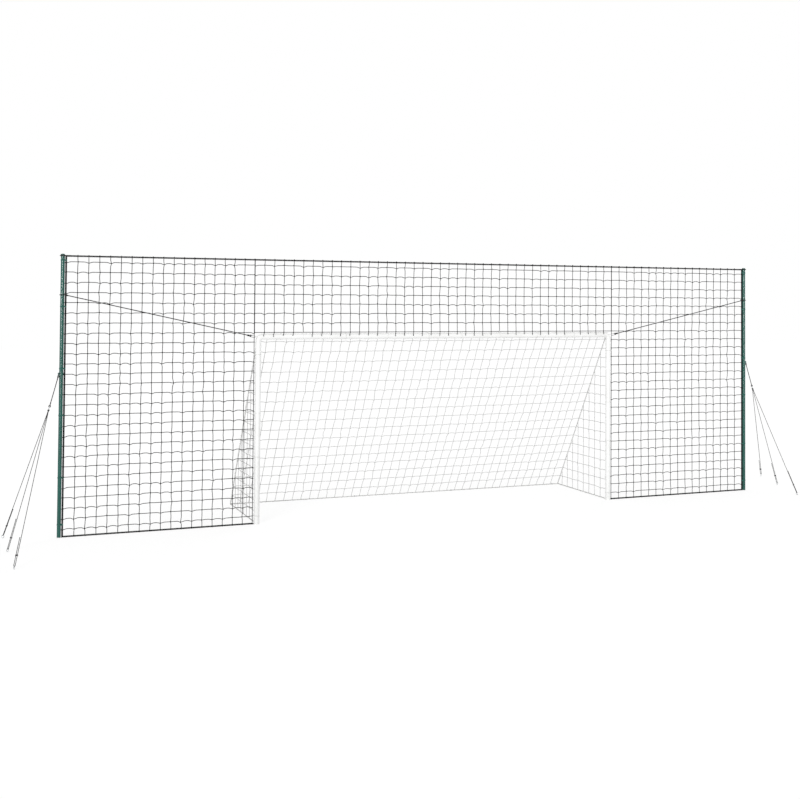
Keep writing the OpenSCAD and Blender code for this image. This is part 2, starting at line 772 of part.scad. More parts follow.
// ---- One module per sub-part ----
module left_pole_lower() { pole_lower(left); }
module left_pole_middle() { pole_middle(left); }
module left_pole_upper() { pole_upper(left); }
module right_pole_lower() { pole_lower(right); }
module right_pole_middle() { pole_middle(right); }
module right_pole_upper() { pole_upper(right); }
module left_pole_cap() { pole_cap(left); }
module right_pole_cap() { pole_cap(right); }
module left_pole_spike() { pole_spike(left); }
module right_pole_spike() { pole_spike(right); }
module left_guy_collar() { guy_collar(left); }
module right_guy_collar() { guy_collar(right); }
module left_guy_ring() { guy_ring(left); }
module right_guy_ring() { guy_ring(right); }
module left_guy_lead() { guy_lead(left); }
module right_guy_lead() { guy_lead(right); }
module left_guys() { guys(left); }
module right_guys() { guys(right); }
module left_slider_back() { slider(left, 0); }
module left_slider_middle() { slider(left, 1); }
module left_slider_front() { slider(left, 2); }
module right_slider_back() { slider(right, 0); }
module right_slider_middle() { slider(right, 1); }
module right_slider_front() { slider(right, 2); }
module left_net() { side_net(left); }
module right_net() { side_net(right); }
module left_side_rope() { side_rope(left); }
module right_side_rope() { side_rope(right); }
module left_bottom_rope() { bottom_rope(left); }
module right_bottom_rope() { bottom_rope(right); }
module left_pole_ties() { pole_tie_set(left); }
module right_pole_ties() { pole_tie_set(right); }
module left_corner_rope() { corner_rope(left); }
module right_corner_rope() { corner_rope(right); }
module left_snap_hook() { snap_hook(left); }
module right_snap_hook() { snap_hook(right); }
module left_hook_gate() { hook_gate(left); }
module right_hook_gate() { hook_gate(right); }
module left_post() { post(left); }
module right_post() { post(right); }
module left_crossbar() { crossbar(left); }
module right_crossbar() { crossbar(right); }
module left_corner_elbow() { corner_elbow(left); }
module right_corner_elbow() { corner_elbow(right); }
module left_post_foot() { post_foot(left); }
module right_post_foot() { post_foot(right); }
module goal_net_left() { goal_net_side(left); }
module goal_net_right() { goal_net_side(right); }

left_pole_lower();
left_pole_middle();
left_pole_upper();
right_pole_lower();
right_pole_middle();
right_pole_upper();
left_pole_cap();
right_pole_cap();
left_pole_spike();
right_pole_spike();
left_guy_collar();
right_guy_collar();
guy_collar_bolts();
left_guy_ring();
right_guy_ring();
left_guy_lead();
right_guy_lead();
guy_junction_rings();
left_guys();
right_guys();
guy_pegs();
left_slider_back();
left_slider_middle();
left_slider_front();
right_slider_back();
right_slider_middle();
right_slider_front();
left_net();
top_net();
right_net();
top_rope();
left_side_rope();
right_side_rope();
left_bottom_rope();
right_bottom_rope();
left_pole_ties();
right_pole_ties();
goal_ties();
left_corner_rope();
right_corner_rope();
left_snap_hook();
right_snap_hook();
left_hook_gate();
right_hook_gate();
left_post();
right_post();
left_crossbar();
right_crossbar();
crossbar_joiner();
left_corner_elbow();
right_corner_elbow();
left_post_foot();
right_post_foot();
goal_net_rear();
goal_net_left();
goal_net_right();
goal_seam_ropes();
goal_ground_ropes();
goal_net_clips();
goal_net_pegs();
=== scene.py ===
import json
import math

import bpy
import numpy as np
from mathutils import Matrix


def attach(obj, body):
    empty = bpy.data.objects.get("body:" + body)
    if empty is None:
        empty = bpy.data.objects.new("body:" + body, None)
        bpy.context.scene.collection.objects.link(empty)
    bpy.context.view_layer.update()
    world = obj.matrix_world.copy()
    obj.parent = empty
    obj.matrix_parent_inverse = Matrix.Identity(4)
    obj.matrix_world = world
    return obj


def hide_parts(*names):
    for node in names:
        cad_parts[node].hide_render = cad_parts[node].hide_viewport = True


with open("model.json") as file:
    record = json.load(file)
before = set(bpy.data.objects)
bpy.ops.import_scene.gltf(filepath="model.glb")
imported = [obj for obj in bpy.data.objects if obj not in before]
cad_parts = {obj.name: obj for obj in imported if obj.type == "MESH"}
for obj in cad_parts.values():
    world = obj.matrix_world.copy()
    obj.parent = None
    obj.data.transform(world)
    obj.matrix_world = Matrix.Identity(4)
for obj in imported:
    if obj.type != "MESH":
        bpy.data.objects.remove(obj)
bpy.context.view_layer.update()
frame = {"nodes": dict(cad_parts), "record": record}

scene = bpy.context.scene
scene.view_settings.view_transform = "Standard"
structure = "structure"
print("frame loaded:", len(frame["nodes"]), "parts")

cameraView = {
    "place": (-5.6459, -12.6041, 2.5979),
    "yaw": 21.836,  # degrees from +Y towards +X
    "pitch": 1.480,
    "roll": 0.429,
    "focalPixels": 1118.59,
    "opticalRow": 270.0,  # the row that the lens looks straight at
}
imageWidth, imageHeight = 800, 799
sensorWidth = 36.0


def unit(v):
    return v / np.linalg.norm(v, axis=-1, keepdims=True)


def placeCamera(view):
    # Axes from yaw, pitch and roll; the frame is shifted so that the lens looks straight at opticalRow
    yaw, pitch, roll = (math.radians(view[k]) for k in ("yaw", "pitch", "roll"))
    ahead = np.array([math.sin(yaw) * math.cos(pitch), math.cos(yaw) * math.cos(pitch), math.sin(pitch)])
    level = unit(np.cross(ahead, [0, 0, 1]))
    upright = np.cross(level, ahead)
    right = level * math.cos(roll) + upright * math.sin(roll)
    up = upright * math.cos(roll) - level * math.sin(roll)
    lens = bpy.data.cameras.new("camera")
    lens.sensor_width = sensorWidth
    lens.sensor_fit = "HORIZONTAL"
    lens.lens = view["focalPixels"] * sensorWidth / imageWidth
    lens.shift_y = (view["opticalRow"] - imageHeight / 2) / imageWidth
    lens.clip_end = 200
    camera = bpy.data.objects.new("camera", lens)
    turn = np.eye(4)
    turn[:3, 0], turn[:3, 1], turn[:3, 2], turn[:3, 3] = right, up, -ahead, view["place"]
    camera.matrix_world = Matrix(turn.tolist())
    scene.collection.objects.link(camera)
    scene.camera = camera


placeCamera(cameraView)

studio = {
    "floorSize": 90.0,
    "floorColour": (0.94, 0.94, 0.94),
    "skyStrength": 0.64,
    "keyStrength": 0.7,
    "keyAngle": 14.0,  # degrees of softness
    "keyTurn": (48.0, 0.0, -38.0),
    "lowStrength": 1.3,  # a low lamp, for the sheen along upright tubes
    "lowAngle": 6.0,
    "lowTurn": (89.0, 0.0, -28.0),
    "backStrength": 0.9,  # a lamp behind on the right, so that white tubes stay white on their far side
    "backAngle": 30.0,
    "backTurn": (76.0, 0.0, 128.0),
    "shadowShare": 0.30,  # how much of the floor's own shading shows
    "floorGlow": 1.1,  # with the lamps above, the floor comes out white
}


def nodeOf(tree, kind, **values):
    # New shader node, with its properties or inputs set by name
    node = tree.nodes.new(kind)
    for key, value in values.items():
        if hasattr(node, key) and key not in node.inputs:
            setattr(node, key, value)
        else:
            node.inputs[key].default_value = value
    return node


def seenDirectly(tree):
    # 1 for rays of the camera and for mirror or clear rays, 0 for the light that falls on the pieces
    path = tree.nodes.new("ShaderNodeLightPath")
    either = nodeOf(tree, "ShaderNodeMath", operation="MAXIMUM")
    tree.links.new(path.outputs["Is Camera Ray"], either.inputs[0])
    glossy = nodeOf(tree, "ShaderNodeMath", operation="MAXIMUM")
    tree.links.new(path.outputs["Is Glossy Ray"], glossy.inputs[0])
    tree.links.new(path.outputs["Is Transmission Ray"], glossy.inputs[1])
    tree.links.new(glossy.outputs[0], either.inputs[1])
    return either.outputs[0]


def lightStudio(light):
    # White sky for the camera, a weaker one for the pieces, and three suns
    world = bpy.data.worlds.new("studio")
    world.use_nodes = True
    tree = world.node_tree
    tree.nodes.clear()
    sky = nodeOf(tree, "ShaderNodeBackground", Strength=light["skyStrength"])
    white = nodeOf(tree, "ShaderNodeBackground", Strength=1.0)
    for shade in (sky, white):
        shade.inputs["Color"].default_value = (1, 1, 1, 1)
    mix = tree.nodes.new("ShaderNodeMixShader")
    out = tree.nodes.new("ShaderNodeOutputWorld")
    tree.links.new(seenDirectly(tree), mix.inputs[0])
    tree.links.new(sky.outputs[0], mix.inputs[1])
    tree.links.new(white.outputs[0], mix.inputs[2])
    tree.links.new(mix.outputs[0], out.inputs[0])
    scene.world = world
    for name in ("key", "low", "back"):
        sun = bpy.data.lights.new(name, "SUN")
        sun.energy = light[name + "Strength"]
        sun.angle = math.radians(light[name + "Angle"])
        lamp = bpy.data.objects.new(name, sun)
        lamp.rotation_euler = [math.radians(a) for a in light[name + "Turn"]]
        scene.collection.objects.link(lamp)


def layFloor(light):
    # White for the camera, mixed with a share of the floor's own lit and shadowed colour
    half = light["floorSize"] / 2
    mesh = bpy.data.meshes.new("floor")
    mesh.from_pydata([(-half, -half, 0), (half, -half, 0), (half, half, 0), (-half, half, 0)], [], [(0, 1, 2, 3)])
    floor = bpy.data.objects.new("floor", mesh)
    scene.collection.objects.link(floor)
    material = bpy.data.materials.new("floor")
    material.use_nodes = True
    tree = material.node_tree
    tree.nodes.clear()
    plain = nodeOf(tree, "ShaderNodeBsdfDiffuse")
    plain.inputs["Color"].default_value = (*light["floorColour"], 1)
    white = nodeOf(tree, "ShaderNodeEmission", Strength=light["floorGlow"])
    share = nodeOf(tree, "ShaderNodeMath", operation="MULTIPLY")
    share.inputs[1].default_value = 1 - light["shadowShare"]
    mix = tree.nodes.new("ShaderNodeMixShader")
    out = tree.nodes.new("ShaderNodeOutputMaterial")
    tree.links.new(seenDirectly(tree), share.inputs[0])
    tree.links.new(share.outputs[0], mix.inputs[0])
    tree.links.new(plain.outputs[0], mix.inputs[1])
    tree.links.new(white.outputs[0], mix.inputs[2])
    tree.links.new(mix.outputs[0], out.inputs[0])
    mesh.materials.append(material)


lightStudio(studio)
layFloor(studio)
print("camera, floor and light placed")

greenCoat = {"colour": (0.003, 0.070, 0.053), "worn": (0.006, 0.090, 0.071), "rough": 0.22, "grain": 420.0}
greenCap = {"colour": (0.003, 0.045, 0.034), "scuff": (0.008, 0.062, 0.050), "rough": 0.5, "grain": 500.0}
zinc = {"colour": (0.60, 0.61, 0.62), "dull": (0.42, 0.43, 0.44), "rough": 0.34, "grain": 260.0}
goalWhite = {"colour": (0.84, 0.845, 0.84), "scuff": (0.76, 0.76, 0.75), "rough": 0.30, "grain": 60.0}
clipWhite = {"colour": (0.76, 0.76, 0.75), "scuff": (0.66, 0.66, 0.65), "rough": 0.5, "grain": 400.0}
mattBlack = {"colour": (0.018, 0.018, 0.020), "scuff": (0.035, 0.035, 0.037), "rough": 0.55, "grain": 500.0}
blackRope = {"colour": (0.005, 0.005, 0.005), "pale": (0.016, 0.016, 0.017), "yarns": 8.0, "rise": 260.0}
blackTwine = {"colour": (0.004, 0.004, 0.004), "pale": (0.012, 0.012, 0.012), "yarns": 3.0, "rise": 420.0}
whiteRope = {"colour": (0.80, 0.80, 0.79), "pale": (0.68, 0.68, 0.67), "yarns": 8.0, "rise": 260.0}
whiteTwine = {"colour": (0.50, 0.50, 0.495), "pale": (0.41, 0.41, 0.405), "yarns": 3.0, "rise": 420.0}
tieTwine = {"colour": (0.80, 0.80, 0.79), "pale": (0.70, 0.70, 0.69), "yarns": 3.0, "rise": 700.0}
greenWeb = {"colour": (0.006, 0.070, 0.054), "scuff": (0.016, 0.100, 0.080), "ribs": 260.0, "weft": 180.0,
            "rough": 0.8, "bump": 0.0004}
yarnSurface = {"rough": 0.72, "fuzzRough": 0.5, "patch": 30.0, "bump": 0.0003}
coatRoughness = 0.12
blackCoat = {"colour": (0.012, 0.012, 0.013), "scuff": (0.030, 0.030, 0.032), "rough": 0.35, "grain": 900.0}


def startMaterial(name):
    material = bpy.data.materials.new(name)
    material.use_nodes = True
    return material, material.node_tree, material.node_tree.nodes["Principled BSDF"]


def noiseOn(tree, scale, detail, source="Object"):
    coords = tree.nodes.new("ShaderNodeTexCoord")
    noise = nodeOf(tree, "ShaderNodeTexNoise", Scale=scale, Detail=detail)
    tree.links.new(coords.outputs[source], noise.inputs["Vector"])
    return noise.outputs["Fac"]


def blendColours(tree, share, low, high, darkAt=0.35, lightAt=0.7):
    ramp = tree.nodes.new("ShaderNodeValToRGB")
    ramp.color_ramp.elements[0].position, ramp.color_ramp.elements[1].position = darkAt, lightAt
    ramp.color_ramp.elements[0].color, ramp.color_ramp.elements[1].color = (*low, 1), (*high, 1)
    tree.links.new(share, ramp.inputs[0])
    return ramp.outputs[0]


def spread(tree, share, low, high):
    rise = nodeOf(tree, "ShaderNodeMapRange")
    rise.inputs["To Min"].default_value, rise.inputs["To Max"].default_value = low, high
    tree.links.new(share, rise.inputs["Value"])
    return rise.outputs[0]


def addBump(tree, shader, height, distance, strength=0.5):
    bump = nodeOf(tree, "ShaderNodeBump", Distance=distance, Strength=strength)
    tree.links.new(height, bump.inputs["Height"])
    tree.links.new(bump.outputs[0], shader.inputs["Normal"])


def hardMaterial(name, look, other, metal=0.0, coat=0.0, patch=6.0, bump=0.0001, unevenness=0.08, shine=0.5):
    # Two close colours in soft patches, uneven gloss and a fine grain in the surface
    material, tree, shader = startMaterial(name)
    patches = noiseOn(tree, patch, 4.0)
    grain = noiseOn(tree, look["grain"], 3.0)
    tree.links.new(blendColours(tree, patches, look["colour"], other), shader.inputs["Base Color"])
    tree.links.new(spread(tree, patches, look["rough"] - unevenness, look["rough"] + unevenness),
                   shader.inputs["Roughness"])
    shader.inputs["Metallic"].default_value = metal
    shader.inputs["Specular IOR Level"].default_value = shine
    shader.inputs["Coat Weight"].default_value = coat
    shader.inputs["Coat Roughness"].default_value = coatRoughness
    addBump(tree, shader, grain, bump)
    return material


def yarnMaterial(name, look, fuzz=0.02, shine=0.2):
    # Yarns slant round each strand: wave of (yarns * turn + rise * length) on the cord's own UV map
    material, tree, shader = startMaterial(name)
    coords = tree.nodes.new("ShaderNodeTexCoord")
    split = tree.nodes.new("ShaderNodeSeparateXYZ")
    tree.links.new(coords.outputs["UV"], split.inputs[0])
    turn = nodeOf(tree, "ShaderNodeMath", operation="MULTIPLY")
    turn.inputs[1].default_value = look["yarns"]
    along = nodeOf(tree, "ShaderNodeMath", operation="MULTIPLY_ADD")
    along.inputs[1].default_value = look["rise"]
    tree.links.new(split.outputs["X"], turn.inputs[0])
    tree.links.new(split.outputs["Y"], along.inputs[0])
    tree.links.new(turn.outputs[0], along.inputs[2])
    full = nodeOf(tree, "ShaderNodeMath", operation="MULTIPLY")
    full.inputs[1].default_value = 2 * math.pi
    wave = nodeOf(tree, "ShaderNodeMath", operation="SINE")
    tree.links.new(along.outputs[0], full.inputs[0])
    tree.links.new(full.outputs[0], wave.inputs[0])
    height = spread(tree, wave.outputs[0], 0.0, 1.0)
    height.node.inputs["From Min"].default_value = -1.0
    patches = noiseOn(tree, yarnSurface["patch"], 3.0)
    tree.links.new(blendColours(tree, patches, look["colour"], look["pale"]), shader.inputs["Base Color"])
    shader.inputs["Roughness"].default_value = yarnSurface["rough"]
    shader.inputs["Specular IOR Level"].default_value = shine
    shader.inputs["Sheen Weight"].default_value = fuzz
    shader.inputs["Sheen Roughness"].default_value = yarnSurface["fuzzRough"]
    addBump(tree, shader, height, yarnSurface["bump"])
    return material


def webMaterial(name, look):
    # Woven strap: fine ribs across a faint checker of warp and weft
    material, tree, shader = startMaterial(name)
    coords = tree.nodes.new("ShaderNodeTexCoord")
    ribs = nodeOf(tree, "ShaderNodeTexWave", Scale=look["ribs"], Distortion=0.6, bands_direction="Z")
    weft = nodeOf(tree, "ShaderNodeTexWave", Scale=look["weft"], Distortion=0.6, bands_direction="DIAGONAL")
    both = nodeOf(tree, "ShaderNodeMath", operation="ADD")
    for wave, k in ((ribs, 0), (weft, 1)):
        tree.links.new(coords.outputs["Object"], wave.inputs["Vector"])
        tree.links.new(wave.outputs["Fac"], both.inputs[k])
    tree.links.new(blendColours(tree, both.outputs[0], look["colour"], look["scuff"], 0.2, 1.0),
                   shader.inputs["Base Color"])
    shader.inputs["Roughness"].default_value = look["rough"]
    addBump(tree, shader, both.outputs[0], look["bump"])
    return material


materials = {
    "pole_green": hardMaterial("green_powder_coat", greenCoat, greenCoat["worn"], bump=0.00002, unevenness=0.03,
                               shine=0.4),
    "cap_green": hardMaterial("green_plastic", greenCap, greenCap["scuff"], patch=40.0),
    "steel": hardMaterial("zinc_plate", zinc, zinc["dull"], metal=1.0, patch=40.0, bump=0.00005),
    "goal_white": hardMaterial("white_upvc", goalWhite, goalWhite["scuff"], coat=0.2, patch=2.5, bump=0.00003),
    "clip_white": hardMaterial("white_nylon", clipWhite, clipWhite["scuff"]),
    "plastic_black": hardMaterial("matt_black_plastic", mattBlack, mattBlack["scuff"], patch=60.0),
    "cord_black": yarnMaterial("black_rope", blackRope),
    "net_black": yarnMaterial("black_twine", blackTwine),
    "net_white": yarnMaterial("white_twine", whiteTwine, 0.15, 0.25),
    "rope_white": yarnMaterial("white_rope", whiteRope, 0.15, 0.25),
    "tie_white": yarnMaterial("white_tie_twine", tieTwine, 0.1, 0.25),
    "hook_black": hardMaterial("black_coated_steel", blackCoat, blackCoat["scuff"], patch=120.0, bump=0.00003),
    "web_green": webMaterial("green_webbing", greenWeb),
}
slotOf = {part["node"]: part["material_slot"] for part in frame["record"]["subparts"]}
ownLook = {"pole_ties": "web_green", "pole_cap": "cap_green"}
for name, node in frame["nodes"].items():
    look = materials[ownLook.get(name.split("_", 1)[1], slotOf[name])]
    for slot in node.material_slots:
        slot.material = look
print("materials made:", len(materials))


def carryRound(paths, flat, radius, sides=6, closed=False, spin=0.0, relief=None):
    # Round surface along each path: path(s) + r (cos a * across + sin a * up), with across = flat x ahead
    # and up = ahead x across. Its rings turn by spin, in radians a metre, and relief(a) scales r
    paths = np.asarray(paths, float)
    paths = paths[None] if paths.ndim == 2 else paths
    count, steps = paths.shape[:2]
    ahead = np.roll(paths, -1, 1) - np.roll(paths, 1, 1) if closed else np.gradient(paths, axis=1)
    ahead = unit(ahead)
    flat = np.asarray(flat, float)
    flat = flat if flat.ndim == 3 else flat.reshape(-1, 1, 3)
    across = unit(np.cross(np.broadcast_to(flat, ahead.shape), ahead))
    up = np.cross(ahead, across)
    gaps = np.linalg.norm(np.roll(paths, -1, 1) - paths, axis=2)
    run = np.concatenate([np.zeros((count, 1)), np.cumsum(gaps, axis=1)], axis=1)
    base = 2 * np.pi * np.arange(sides) / sides
    angle = base + spin * run[:, :steps, None]
    size = np.broadcast_to(radius, (count, steps))[..., None] * (np.ones(sides) if relief is None else relief(base))
    ring = np.cos(angle)[..., None] * across[:, :, None] + np.sin(angle)[..., None] * up[:, :, None]
    verts = paths[:, :, None] + size[..., None] * ring
    index = np.arange(count * steps * sides).reshape(count, steps, sides)
    rows = np.arange(steps if closed else steps - 1)
    here, there = index[:, rows], index[:, (rows + 1) % steps]
    quads = np.stack([here, np.roll(here, -1, 2), np.roll(there, -1, 2), there], -1)
    turn = np.arange(sides) / sides
    u = np.broadcast_to(np.stack([turn, turn + 1 / sides, turn + 1 / sides, turn], -1), quads.shape)
    v = np.stack([run[:, rows], run[:, rows], run[:, rows + 1], run[:, rows + 1]], -1)[:, :, None]
    caps = [] if closed else np.stack([index[:, 0, ::-1], index[:, -1]], 1).reshape(-1, sides).tolist()
    return {"verts": verts.reshape(-1, 3), "faces": quads.reshape(-1, 4).tolist() + caps,
            "uv": np.concatenate([np.stack([u, np.broadcast_to(v, u.shape)], -1).reshape(-1, 2),
                                  np.zeros((len(caps) * sides, 2))])}


def carryBlobs(centres, axes, radii, rings=5, sides=8, relief=None):
    # Closed blob at each centre: centre + axes (radii * r(lat, lon) * sphere), a vertex at each pole
    centres = np.atleast_2d(np.asarray(centres, float))
    count = len(centres)
    lat = np.pi * np.arange(1, rings + 1) / (rings + 1)
    lon = 2 * np.pi * np.arange(sides) / sides
    lat, lon = np.meshgrid(lat, lon, indexing="ij")
    size = 1.0 if relief is None else relief(lat, lon)
    ball = np.stack([np.sin(lat) * np.cos(lon), np.sin(lat) * np.sin(lon), np.cos(lat)], -1)
    ball = (ball * np.reshape(size, np.shape(size) + (1,) * (np.ndim(size) > 0))).reshape(-1, 3)
    ball = np.concatenate([ball, [[0, 0, 1], [0, 0, -1]]]) * radii
    verts = centres[:, None] + ball @ np.asarray(axes, float)
    grid = np.arange(rings * sides).reshape(rings, sides)
    quads = np.stack([grid[:-1], grid[1:], np.roll(grid[1:], -1, 1), np.roll(grid[:-1], -1, 1)], -1).reshape(-1, 4)
    top = np.stack([np.full(sides, rings * sides), grid[0], np.roll(grid[0], -1)], -1)
    low = np.stack([np.full(sides, rings * sides + 1), np.roll(grid[-1], -1), grid[-1]], -1)
    step = np.arange(count)[:, None, None] * (rings * sides + 2)
    faces = (quads + step).reshape(-1, 4).tolist() + (np.concatenate([top, low]) + step).reshape(-1, 3).tolist()
    corners = sum(len(face) for face in faces)
    return {"verts": verts.reshape(-1, 3), "faces": faces, "uv": np.zeros((corners, 2))}


def makePiece(name, surfaces, look, slot, *nodes, body=structure):
    # One object of several surfaces, at the origin, that stands for the CAD nodes it is given
    verts, faces, start = [], [], 0
    for surface in surfaces:
        verts.append(surface["verts"])
        faces += [[corner + start for corner in face] for face in surface["faces"]]
        start += len(surface["verts"])
    mesh = bpy.data.meshes.new(name)
    mesh.from_pydata(np.concatenate(verts).tolist(), [], faces)
    layer = mesh.uv_layers.new(name="along")
    layer.data.foreach_set("uv", np.concatenate([s["uv"] for s in surfaces]).ravel())
    mesh.polygons.foreach_set("use_smooth", np.ones(len(faces), bool))
    mesh.materials.append(materials[look])
    mesh.update()
    piece = bpy.data.objects.new(name, mesh)
    scene.collection.objects.link(piece)
    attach(piece, body)
    if nodes:
        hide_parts(*nodes)
    return piece


def evenPath(points, spacing, closed=False):
    # The same line with its points a fixed distance apart
    points = np.asarray(points, float)
    points = np.concatenate([points, points[:1]]) if closed else points
    run = np.concatenate([[0], np.cumsum(np.linalg.norm(np.diff(points, axis=0), axis=1))])
    count = int(math.ceil(run[-1] / spacing)) + 1
    even = np.linspace(0, run[-1], count)
    line = np.stack([np.interp(even, run, points[:, k]) for k in range(3)], -1)
    return line[:-1] if closed else line


def pathLength(points):
    return float(np.linalg.norm(np.diff(points, axis=0), axis=1).sum())


ropeLay = {"pitch": 3.4, "ringsPerTurn": 12, "sides": 12}  # pitch in diameters


def strandRelief(a):
    return 1 + 0.08 * np.cos(3 * a)  # three ridges round the rope, one for each strand


def layRope(points, flat, radius, closed=False):
    # Three strands laid round the line: their ridges climb one turn in each pitch
    pitch = ropeLay["pitch"] * 2 * radius
    line = evenPath(points, pitch / ropeLay["ringsPerTurn"], closed)
    whole = np.concatenate([line, line[:1]]) if closed else line
    length = pathLength(whole)
    turns = max(1, round(length / pitch)) if closed else length / pitch
    return carryRound(line, flat, radius, ropeLay["sides"], closed, 2 * np.pi * turns / length, strandRelief)


def circleLine(centre, a, b, radius, count=24, start=0.0, stop=2 * np.pi):
    # Arc from a towards b: centre + radius (cos t * a + sin t * b)
    t = np.linspace(start, stop, count, endpoint=stop - start < 2 * np.pi - 0.001)[:, None]
    return np.asarray(centre) + radius * (np.cos(t) * a + np.sin(t) * b)


def whipping(start, ahead, flat, length, ropeRadius, twineRadius):
    # Twine wound close round a rope: a sleeve whose radius rises and falls once a turn
    steps = max(3, int(round(length / (2 * twineRadius)))) * 4 + 1
    s = np.linspace(0, length, steps)
    swell = ropeRadius + twineRadius * (0.7 + 0.6 * np.abs(np.sin(np.pi * s / (2 * twineRadius))))
    swell[[0, -1]] = ropeRadius * 0.9
    line = np.asarray(start) + s[:, None] * np.asarray(ahead)
    return carryRound(line, flat, swell[None], 12)


def stopperKnot(centre, axes, size, cordRadius):
    # Overhand knot drawn tight: (sin t + 2 sin 2t, cos t - 2 cos 2t, -1.4 sin 3t), scaled to size
    t = np.linspace(0, 2 * np.pi, 40, endpoint=False)
    shape = np.stack([np.sin(t) + 2 * np.sin(2 * t), np.cos(t) - 2 * np.cos(2 * t), -1.4 * np.sin(3 * t)], -1)
    line = np.asarray(centre) + (shape / 3 * size) @ np.asarray(axes)
    # its line turns every way, so each ring is squared to the direction from the knot's middle
    return carryRound(line, (line - np.asarray(centre))[None], cordRadius, 8, closed=True)


def mirrored(points, sign):
    return np.asarray(points, float) * [sign, 1, 1]


sides = {"left": -1, "right": 1}
xRight = np.array([1.0, 0.0, 0.0])
yBack = np.array([0.0, 1.0, 0.0])
zUp = np.array([0.0, 0.0, 1.0])

# sizes of the poles and edge ropes that the other pieces go by
poleSet = {"x": 4.5312, "radius": 0.0212, "wallX": 4.5, "wallHeight": 3.040, "edgeRope": 0.006, "seat": 0.0003}
guyRig = {
    "collarHeight": 1.760,
    "boltOut": 0.016,  # from the pole's surface
    "boltRadius": 0.003,
    "ringRadius": 0.016,
    "ringWire": 0.002,
    "leadDrop": 0.355,
    "leadRadius": 0.0045,
    "leadEye": 0.009,
    "junctionRadius": 0.022,
    "junctionWire": 0.0025,
    "guyRadius": 0.003,
    "guyEye": 0.007,
    "pegOut": {-1: (0.560, 0.535, 0.510), 1: (1.050, 0.740, 0.420)},
    "pegBack": {-1: (0.160, -0.530, -1.310), 1: (0.900, 0.190, -0.560)},
    "pegHeight": 0.034,
    "pegWire": 0.0034,
    "tail": 0.300,
    "knot": 0.0034,
    "knotCord": 0.6,  # in radii of the guy
    "spliceIn": 0.0002,
    "whip": 0.020,
    "longWhip": 0.032,
    "whipTwine": 0.0006,
}
guyNames = ("back", "middle", "front")


def inPlane(v, n):
    return unit(v - (v @ n) * n)  # v without its part along n


def eyeReach(eye, cordRadius, wire):
    # From the end of a rope to the middle of the wire that its eye hangs on
    return 2 * eye - cordRadius + guyRig["spliceIn"] - wire - poleSet["seat"]


def eyeLoop(end, ahead, ringAxis, eye, cordRadius):
    # Eye past a rope's end: a loop in the plane of the rope and square to the ring's wire
    grip = unit(np.cross(ringAxis, inPlane(ahead, ringAxis)))
    line = circleLine(end + ahead * eye, ahead, np.cross(grip, ahead), eye)
    return layRope(line, grip, cordRadius - guyRig["spliceIn"], closed=True)


def guyPlan(side):
    # The collar's ears turn to the mean of the three pegs, so its ring and the lead lie in that plane
    rig = guyRig
    pole = np.array([poleSet["x"], 0, rig["collarHeight"]])
    anchors = np.array([[poleSet["x"] + out, back, rig["pegHeight"]]
                        for out, back in zip(rig["pegOut"][side], rig["pegBack"][side])])
    ears = unit((anchors.mean(0) - pole) * [1, 1, 0])
    bolt = pole + (poleSet["radius"] + rig["boltOut"]) * ears
    lead = unit(anchors.mean(0) - bolt)
    ringLow = bolt + lead * (2 * rig["ringRadius"] - rig["ringWire"] - rig["boltRadius"] - poleSet["seat"])
    junction = bolt + lead * (rig["leadDrop"] / -lead[2])
    fan = unit(np.cross(anchors[0] - junction, anchors[2] - junction))
    return {"anchors": anchors, "ringLow": ringLow, "ringAxis": np.cross(zUp, ears), "junction": junction, "fan": fan}


def guyLine(plan, k):
    # Eye's throat, standing part, half turn through the peg's ring, and the tail back up beside it
    rig = guyRig
    anchor, fan = plan["anchors"][k], plan["fan"]
    rim = plan["junction"] + rig["junctionRadius"] * inPlane(anchor - plan["junction"], fan)
    up = unit(rim - anchor)
    out = unit(np.cross(-up, zUp))
    turn = rig["pegWire"] + rig["guyRadius"] + poleSet["seat"]
    middle = anchor - out * turn
    length = np.linalg.norm(rim - anchor) - eyeReach(rig["guyEye"], rig["guyRadius"], rig["junctionWire"])
    throat = anchor + up * length
    half = circleLine(middle, out, -up, turn, 16, 0, np.pi)
    knot = middle - out * turn + up * rig["tail"]
    return {"line": np.concatenate([[throat], half, [knot]]), "up": up, "out": out, "throat": throat, "knot": knot}


